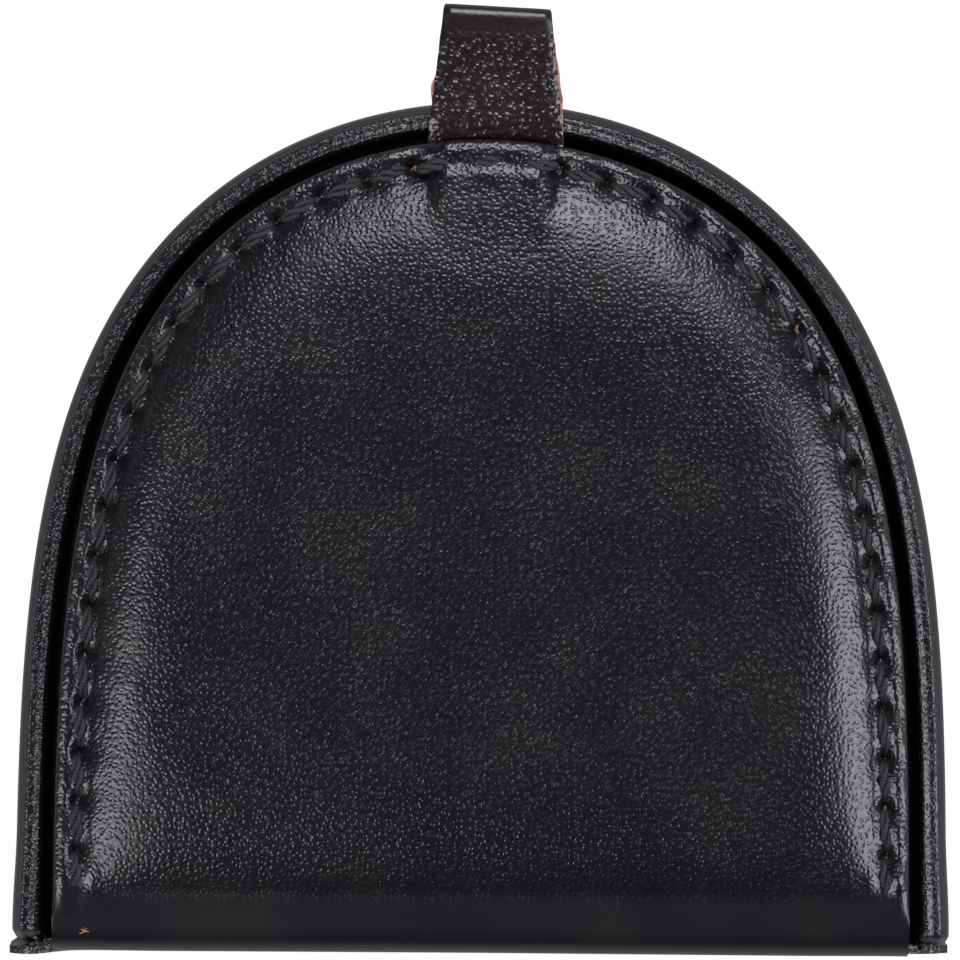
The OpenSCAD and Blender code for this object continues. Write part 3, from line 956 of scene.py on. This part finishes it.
bm = sweep_wall(tray_edge, tray_section, 780, tray_shift, cap=2.4 * MM, limit=wall_t + 0.25 * MM)
tray_wall_skin = make_piece(bm, "tray_wall_skin", [wall_leather, creased_leather], 0.45 * MM, 0.0, 1,
                            flip=faces_in(bm))
print(f"tray wall: {len(tray_wall_skin.data.polygons)} faces, {tray_wall_skin.dimensions.x / MM:.2f} mm wide")
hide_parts("tray_wall")
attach(tray_wall_skin, "tray")

core_section = np.stack([np.full(14, 0.6 * MM), np.linspace(1.3 * MM, tray_h - 2.1 * MM, 14)], 1)
bm = sweep_wall(Edge(0, hinge_y + 1.3 * MM), core_section, 240, lambda s, k, depth, z: (depth, z))
tray_wall_board = make_piece(bm, "tray_wall_board", [board], 0.95 * MM, 0.0, 0, flip=faces_in(bm))
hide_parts("tray_wall_core")
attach(tray_wall_board, "tray")
print("tray wall's board:", len(tray_wall_board.data.polygons), "faces")

# %% The coin pocket's wall
pocket_edge = Edge(pocket_inset, hinge_y + front_roll_r - 0.15 * MM)
wall_low, wall_high = cover_hi.z + 0.05 * MM, flange_top - 0.05 * MM
bend_r = 0.5 * MM
flange_w = 3.2 * MM
bend_angles = np.radians([30, 60, 90])
bend_in = bend_r - bend_r * np.sin(bend_angles)
bend_up = bend_r * (1 - np.cos(bend_angles))
pocket_section = np.concatenate([
    [[flange_w, wall_low], [1.6 * MM, wall_low]],
    np.stack([np.linspace(1.1 * MM, bend_r, 3), np.full(3, wall_low)], 1),
    np.stack([bend_in, wall_low + bend_up], 1),
    np.stack([np.zeros(9), np.linspace(wall_low + 1.2 * MM, wall_high - 1.2 * MM, 9)], 1),
    np.stack([bend_in[::-1], wall_high - bend_up[::-1]], 1),
    np.stack([np.linspace(bend_r, 1.1 * MM, 3), np.full(3, wall_high)], 1),
    [[1.6 * MM, wall_high], [flange_w, wall_high]],
])


def pocket_shift(s, k, depth, z):
    mid = (wall_low + wall_high) / 2
    slack = np.cos((z - mid) / (wall_high - wall_low) * math.pi) ** 2
    along = np.stack([s, z * 0.4], 1)
    depth += (0.10 + 0.09 * ripple(along, 6 * MM, 8.0)) * MM * slack
    return depth, z


bm = sweep_wall(pocket_edge, pocket_section, 380, pocket_shift, cap=1.6 * MM, limit=flange_w)
pocket_wall_skin = make_piece(bm, "pocket_wall_skin", [pocket_leather, black_edge], 0.35 * MM, 0.0, 1,
                              flip=faces_in(bm))
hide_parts("pocket_wall")
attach(pocket_wall_skin, "coin_pocket")
print(f"pocket wall: {len(pocket_wall_skin.data.polygons)} faces, "
      f"{pocket_wall_skin.dimensions.x / MM:.2f} mm wide")

# %% [markdown]
# ## The pocket's cover
#
# The face of the pocket that looks into the tray is one flat leather, sewn to
# the pocket's wall. Its edge near the hinge is cut in a shallow scoop, and a
# finger goes in there for the coins.

# %% Shape the cover
cover_edge = Edge(pocket_inset, hinge_y + 9 * MM)
scoop, scoop_w = 7 * MM, 46 * MM  # its depth and width
scoop_reach = 30 * MM  # how far up the cover the grid gives way to it
scoop_r = ((scoop_w / 2) ** 2 + scoop**2) / (2 * scoop)


def cover_relief(x, y, depth):
    past_mouth = smooth(y, cover_lo.y + 0.5 * MM, cover_lo.y + 2 * MM)
    z = 0.40 * MM * bell(depth - cover_seam, 0.7 * MM) * past_mouth
    z += 0.4 * MM * bell(hole_distance(x, y, cover_holes), 0.5 * MM)
    points = np.stack([x, y], 1)
    return z + 0.06 * MM * (1 + ripple(points, 11 * MM, 7.0))


bm = horseshoe(cover_edge, cover_lo.z, cover_relief, half=84, band_rows=28)
for vert in bm.verts:
    x, y = vert.co.x, vert.co.y - cover_edge.y0
    arch = math.sqrt(max(scoop_r**2 - x * x, 0)) - (scoop_r - scoop)
    lifted = max(arch, 0) + 0.25 * MM * float(bell(abs(x) - scoop_w / 2, 2 * MM))
    vert.co.y += lifted * max(0, 1 - y / scoop_reach) ** 1.5
cover_t = cover_hi.z - cover_lo.z - 0.05 * MM
cover_skin = make_piece(bm, "pocket_cover_skin", [pocket_leather, black_edge], cover_t,
                        0.14 * MM, 1, flip=True)
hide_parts("pocket_cover")
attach(cover_skin, "coin_pocket")
print("pocket cover:", len(cover_skin.data.polygons), "faces")

# %% [markdown]
# ## Thread
#
# Each visible stitch is a short length of waxed thread: three plies twisted
# together, pressed flat, which dive into the leather at both ends. A ply is a
# grid rolled into a tube, so its UV map runs along and round it and carries
# the fibres.

# %% Twist one stitch


def tube(bm, centre, radius, side, up, around=8):
    """A grid rolled round a path of points. Its radius may change on the way."""
    rings = len(centre) - 1
    made = bmesh.ops.create_grid(bm, x_segments=rings, y_segments=around, size=0.5, calc_uvs=True)
    for vert in made["verts"]:
        i = round((vert.co.x + 0.5) * rings)
        a = (vert.co.y + 0.5) * 2 * math.pi
        r = float(radius[i])
        vert.co = centre[i] + side[i] * (r * math.cos(a)) + up[i] * (r * math.sin(a))


def stitch(bm, a, b, z, facing, seed, dip=1.5 * MM, wide=0.31 * MM, flat=0.55):
    """Three plies from hole a to hole b. facing is 1 for the top side, -1 under."""
    a, b = Vector((*a, 0)), Vector((*b, 0))
    along = (b - a).normalized()
    side = Vector((-along.y, along.x, 0))
    up = Vector((0, 0, facing))
    random = np.random.RandomState(seed)
    slant = (0.16 + 0.08 * random.rand()) * MM
    turns = 0.75 + 0.3 * random.rand()
    start = random.rand() * 2 * math.pi
    t = np.linspace(0.0, 1.0, 19)
    belly = np.sin(np.pi * np.clip(t, 0.02, 0.98)) ** 0.45
    drop = dip * (1 - np.sin(np.pi * np.clip(t, 0.0, 1.0)) ** 0.35)
    for ply in range(3):
        phase = start + 2 * math.pi * (ply / 3 + turns * t)
        centre, radius = [], []
        for i, f in enumerate(t):
            spread = float(wide * belly[i])
            p = a.lerp(b, float(0.03 + 0.94 * f))
            p += side * float(slant * (2 * f - 1) + spread * math.cos(phase[i]))
            p += up * float(-drop[i] + spread * flat * math.sin(phase[i]))
            p.z += z
            centre.append(p)
            radius.append(max(0.27 * MM * belly[i] ** 0.6, 0.01 * MM))
        tube(bm, centre, radius, [side] * len(t), [up] * len(t))


def stitch_row(name, holes, z, facing, body, replaced, seed, **shape):
    bm = bmesh.new()
    bm.loops.layers.uv.new("UVMap")
    for i in range(len(holes) - 1):
        height = z(*((holes[i] + holes[i + 1]) / 2)) if callable(z) else z
        stitch(bm, holes[i], holes[i + 1], height, facing, seed + i, **shape)
    bmesh.ops.remove_doubles(bm, verts=bm.verts[:], dist=2e-6)
    bmesh.ops.recalc_face_normals(bm, faces=bm.faces[:])
    row = make_piece(bm, name, [thread])
    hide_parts(replaced)
    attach(row, body)
    print(name, len(row.data.polygons), "faces")


def front_thread_z(x, y):
    """The stitches lie higher over the tab's tail."""
    over_tail = 1 - float(smooth(abs(x - tab_x), 4.4 * MM, 6.4 * MM))
    return front_z - 0.22 * MM + 1.05 * MM * over_tail * float(y > 0)


stitch_row("front_thread", front_holes, front_thread_z, 1, "coin_pocket", "front_stitches", 10)
sunk = {"wide": 0.22 * MM, "flat": 0.35, "dip": 0.5 * MM}
stitch_row("tray_thread", tray_holes, 0.52 * MM, -1, "tray", "tray_stitches", 110, **sunk)
stitch_row("pocket_thread", cover_holes, cover_lo.z + 0.5 * MM, -1, "coin_pocket", "pocket_stitches",
           210, **sunk)

# %% [markdown]
# ## The pull tab
#
# One strip of leather is folded double. Its two ends are sewn in under the
# front leather's edge, and its fold sticks out past the rim. It was cut from
# undyed leather with a dyed face, so both long edges are tan.

# %% Fold the strip
tab_t = 1.8 * MM
layer_t = 0.82 * MM
tab_top, tab_low = tab_hi.z, tab_lo.z
fold_r = (tab_t - layer_t) / 2
tail_y = panel_end - 4.6 * MM
end_y = tab_hi.y - 0.42 * MM


def layer_path(upper, count=44):
    """The middle line [y, z] of one layer, from the tail to the start of the fold."""
    y = np.linspace(tail_y, end_y - fold_r - layer_t / 2, count)
    if upper:
        tail_z, out_z = flange_top + 0.35 * MM, tab_top - layer_t / 2
        from_y, to_y = panel_end - 0.9 * MM, panel_end + 1.5 * MM
    else:
        tail_z, out_z = flange_top - 0.4 * MM, tab_low + layer_t / 2
        from_y, to_y = panel_end - 1.2 * MM, panel_end + 0.5 * MM
    return np.stack([y, tail_z + (out_z - tail_z) * smooth(y, from_y, to_y)], 1)


upper_path, lower_path = layer_path(True), layer_path(False)
fold = arc(end_y - fold_r - layer_t / 2, (tab_top + tab_low) / 2, fold_r, 90, -90, 9)[1:-1]
tab_path = np.concatenate([upper_path, fold, lower_path[::-1]])
strip_rows = 180
tab_path = resample(tab_path, strip_rows)
tab_s = np.linspace(-1, 1, strip_rows + 1)


def place_tab(gu, gv):
    k = np.round(gv * strip_rows).astype(int)
    y, z = tab_path[k, 0], tab_path[k, 1].copy()
    u = 2 * gu - 1
    reach = np.clip((y - panel_end) / (end_y - panel_end), 0, 1)
    width = (10.6 - 2.35 * reach) * MM
    lower = smooth(tab_s[k], -0.02, 0.12)
    # the layer beneath is cut a little wider and sits askew
    left = 0.46 * bell(reach - 0.37, 0.12)
    right = 0.10 + 0.17 * bell(reach - 0.33, 0.25)
    peek = lower * np.where(u > 0, right, left) * MM * np.abs(u)
    wavy = (0.05 + 0.05 * lower) * MM * ripple(np.stack([y, np.sign(u) * 9 * MM], 1), 1.1 * MM, 12.0)
    askew = 0.10 * MM * lower * np.sin(math.pi * reach)
    x = tab_x + u * (width / 2 + peek + wavy) + 0.10 * MM * reach + askew
    slope = -0.052 * reach**1.5
    upper = 1 - lower
    bend_line = panel_end + 0.85 * MM + 0.16 * MM * np.sin((x - tab_x) * 900)
    crease = -0.10 * MM * bell(y - bend_line, 0.13 * MM)
    wrinkle = 0.075 * MM * ripple(np.stack([x * 0.22, y], 1), 0.50 * MM, 9.0)
    wrinkle = wrinkle * (1 - smooth(reach, 0.25, 0.60))
    edges = -0.24 * MM * smooth(np.abs(u), 0.88, 1.0)
    z = z + upper * (crease + wrinkle + edges)
    return np.column_stack([x, y + slope * (x - tab_x), z])


bm = grid_shape(44, strip_rows, place_tab)
tab_strip = make_piece(bm, "tab_strip", [tab_leather, tan_edge])
thick = tab_strip.vertex_groups.new(name="thickness")
for vert in tab_strip.data.vertices:
    skived = 0.75 + 0.25 * float(smooth(vert.co.y, panel_end - 1.0 * MM, panel_end + 0.6 * MM))
    thick.add([vert.index], skived, "REPLACE")
solid = thicken(tab_strip, layer_t, 0, 1)
solid.vertex_group = "thickness"
solid.material_offset = 1
round_edges(tab_strip, 0.10 * MM)
apply_modifiers(tab_strip)
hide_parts("pull_tab", "tab_tail")
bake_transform(tab_strip)
print("tab:", len(tab_strip.data.polygons), "faces")

# %% [markdown]
# ## Linings
#
# Black woven cloth lines the tray and the coin pocket. Each is one sheet, cut
# to a horseshoe and laid in. At the hinge it runs up or down the inside of the
# spine, so it bends with the leather there.

# %% Lay the linings


def lay_lining(name, edge, z, turn, turn_rows, width, replaced, facing):
    """A woven sheet at height z that follows turn at the hinge, width wide there to
    either side. facing is 1 for a sheet that looks up and -1 for one that looks down."""
    def waves(x, y, depth):
        points = np.stack([x, y], 1)
        return 0.05 * MM * ripple(points, 8 * MM, 11.0)

    bm = horseshoe(edge, z, waves, turn=turn, half=60, band_rows=16, turn_rows=turn_rows,
                   widths=([0, 1], [width, width]))
    area = sum(face.calc_area() for face in bm.faces)
    cloth = make_piece(bm, name, [lining_cloth], 0.4 * MM, 0.0, 0, flip=facing < 0)
    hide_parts(*replaced)
    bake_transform(cloth)


inner_y = hinge_y + leather_t + 0.12 * MM
spine_lining_w = 32.8 * MM
low_r, high_r = 1.3 * MM, 2.2 * MM  # the turns at the tray's floor and at the pocket's ceiling
floor_end = hinge_y + 2.6 * MM
tray_turn = np.concatenate([arc(inner_y + low_r, floor_z + low_r, low_r, 270, 180, 8),
                            [[inner_y, mid_spine_z]]])
tray_turn[:, 0] += floor_end - tray_turn[0, 0]
tray_turn[-1, 0] = tray_turn[-2, 0]
lay_lining(
    "tray_lining_cloth", Edge(wall_t + 0.1 * MM, floor_end), floor_z, tray_turn, 12, spine_lining_w,
    ("tray_lining", "spine_lining"), 1)
pocket_turn = np.concatenate([arc(inner_y + high_r, ceiling_z - high_r, high_r, 90, 180, 8),
                              [[inner_y, mid_spine_z]]])
lay_lining(
    "pocket_lining_cloth", Edge(pocket_inset + pocket_wall_t + 0.1 * MM, inner_y + high_r), ceiling_z,
    pocket_turn, 14, spine_lining_w,
    ("pocket_lining",), -1)

# %% [markdown]
# ## Boards and loose fibres
#
# The boards inside both halves and the strip in the pocket's wall keep their CAD
# shape and get a finish. The strip is finished black, because it shows inside
# the pocket's mouth. A few tan fibres stick out of the needle holes, where the
# undyed middle of the leather is torn.

# %% Finish the boards and add the fibres
for name, look in (("back_board", board), ("front_board", board), ("pocket_wall_core", black_edge)):
    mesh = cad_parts[name].data
    mesh.materials.clear()
    mesh.materials.append(look)


def fibre_tuft(bm, x, y, z, count, seed, size, lean):
    """A few curled fibres from one spot. lean is the way that most of them point."""
    random = np.random.RandomState(seed)
    for _ in range(count):
        heading = lean + (random.rand() - 0.5) * 1.9 + math.pi * (random.rand() < 0.3)
        out = Vector((math.cos(heading), math.sin(heading), 0))
        side, up = Vector((-out.y, out.x, 0)), Vector((0, 0, 1))
        bend = side * (random.rand() - 0.5) * size
        length = size * (0.6 + 0.8 * random.rand())
        t = np.linspace(0, 1, 7)
        root = Vector((x, y, z - 0.1 * MM))
        centre = [root + out * float(length * f) + bend * float(f * f)
                  + up * (0.3 * MM * math.sin(2.6 * f)) for f in t]
        radius = [0.05 * MM * (1 - 0.7 * f) for f in t]
        tube(bm, centre, radius, [side] * len(t), [up] * len(t), around=6)


bm = bmesh.new()
bm.loops.layers.uv.new("UVMap")
fibre_tuft(bm, -31.8 * MM, hinge_y + 1.3 * MM, front_z - 0.32 * MM, 9, 1, 0.42 * MM, 1.1)
fibre_tuft(bm, *front_holes[12], front_z + 0.05 * MM, 5, 2, 0.36 * MM, 2.2)
fibre_tuft(bm, *front_holes[21], front_z + 0.1 * MM, 4, 3, 0.34 * MM, 0.4)
bmesh.ops.remove_doubles(bm, verts=bm.verts[:], dist=1e-6)
fibres = make_piece(bm, "loose_fibres", [tan_fibre])
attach(fibres, "coin_pocket")
print("fibres:", len(fibres.data.polygons), "faces")

# %% [markdown]
# ## Floor, light and camera
#
# Glossy black leather shows mostly what it reflects. So the light is three big
# soft boxes low round the purse and nothing bright overhead: the flat middle
# stays dark, and the slopes beside the seam light up.

# %% The floor
bm = bmesh.new()
bmesh.ops.create_grid(bm, x_segments=1, y_segments=1, size=4.0)
floor = make_piece(bm, "floor", [])
floor.location.z = -0.02 * MM
floor_material, tree, shader = new_material("pale_floor")
speckle = noise_node(tree, (-600, 0), 40.0, Detail=2.0)
paper = mixed_colour(tree, (-300, 0), speckle.outputs["Fac"], (0.13, 0.13, 0.13), (0.15, 0.15, 0.15))
tree.links.new(paper, shader.inputs["Base Color"])
set_inputs(shader, Roughness=0.9, Emission_Color=(1, 1, 1, 1))
# the leather mirrors the floor as a dimmer sheet than the eye sees
ray = node(tree, "ShaderNodeLightPath", (-600, -300))
floor_glow = ranged(tree, (-300, -300), ray.outputs["Is Glossy Ray"], 0.0, 1.0, 0.85, 0.18)
tree.links.new(floor_glow, shader.inputs["Emission Strength"])
floor.data.materials.append(floor_material)
floor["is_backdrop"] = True
print("the floor lies", round(-floor.location.z / MM, 2), "mm under the purse")

# %% The soft boxes
box_colour = (1.0, 0.955, 1.03)  # slightly cool


def soft_box(name, azimuth, tilt, distance, width, height, radiance):
    """A rectangular light that faces the purse. azimuth is counted from +X
    towards +Y and tilt from straight up, both in degrees."""
    a, t = math.radians(azimuth), math.radians(tilt)
    way = Vector((math.sin(t) * math.cos(a), math.sin(t) * math.sin(a), math.cos(t)))
    data = bpy.data.lights.new(name, "AREA")
    data.shape = "RECTANGLE"
    data.size, data.size_y = width, height
    data.energy = radiance * math.pi * width * height
    data.color = box_colour
    light = bpy.data.objects.new(name, data)
    light.location = way * distance
    light.rotation_euler = way.to_track_quat("Z", "Y").to_euler()
    bpy.context.scene.collection.objects.link(light)


soft_box("left_box", 210, 52, 1.0, 0.62, 0.65, 7.4)
soft_box("right_box", -8, 60, 1.0, 0.68, 0.65, 7.4)
soft_box("top_box", 82, 46, 1.0, 0.62, 0.5, 9.5)

world = bpy.data.worlds.new("room")
bpy.context.scene.world = world
world.use_nodes = True
tree = world.node_tree
room = tree.nodes["Background"]
set_inputs(room, Color=(0.050, 0.046, 0.054, 1), Strength=1.0)
backdrop = node(tree, "ShaderNodeBackground", (0, -200))
set_inputs(backdrop, Color=(0.9, 0.9, 0.9, 1), Strength=1.0)
ray = node(tree, "ShaderNodeLightPath", (-200, 200))
choose = node(tree, "ShaderNodeMixShader", (200, 0))
tree.links.new(ray.outputs["Is Camera Ray"], choose.inputs[0])
tree.links.new(room.outputs[0], choose.inputs[1])
tree.links.new(backdrop.outputs[0], choose.inputs[2])
tree.links.new(choose.outputs[0], tree.nodes["World Output"].inputs["Surface"])
bpy.context.scene.view_settings.view_transform = "Standard"

# %% The camera
camera_data = bpy.data.cameras.new("camera")
camera = bpy.data.objects.new("camera", camera_data)
bpy.context.scene.collection.objects.link(camera)
distance, view_w = 0.56, 77.0 * MM  # from the rim, and what the picture is wide there
sensor_w = 36.0
camera.location = (-0.33 * MM, hinge_y + 37.75 * MM, tray_h + distance)
camera.rotation_euler = (0, 0, math.radians(0.45))
camera_data.sensor_width = sensor_w
camera_data.lens = sensor_w * distance / view_w
camera_data.clip_start, camera_data.clip_end = 0.01, 20.0
bpy.context.scene.camera = camera
print(f"lens {camera_data.lens:.0f} mm")

# %% Print the boxes of the CAD model and of the finished scene
visual_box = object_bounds()
for label, pair in (("cad", cad_box), ("visual", visual_box)):
    print(label, [f"{value / MM:.2f}" for corner in pair for value in corner])
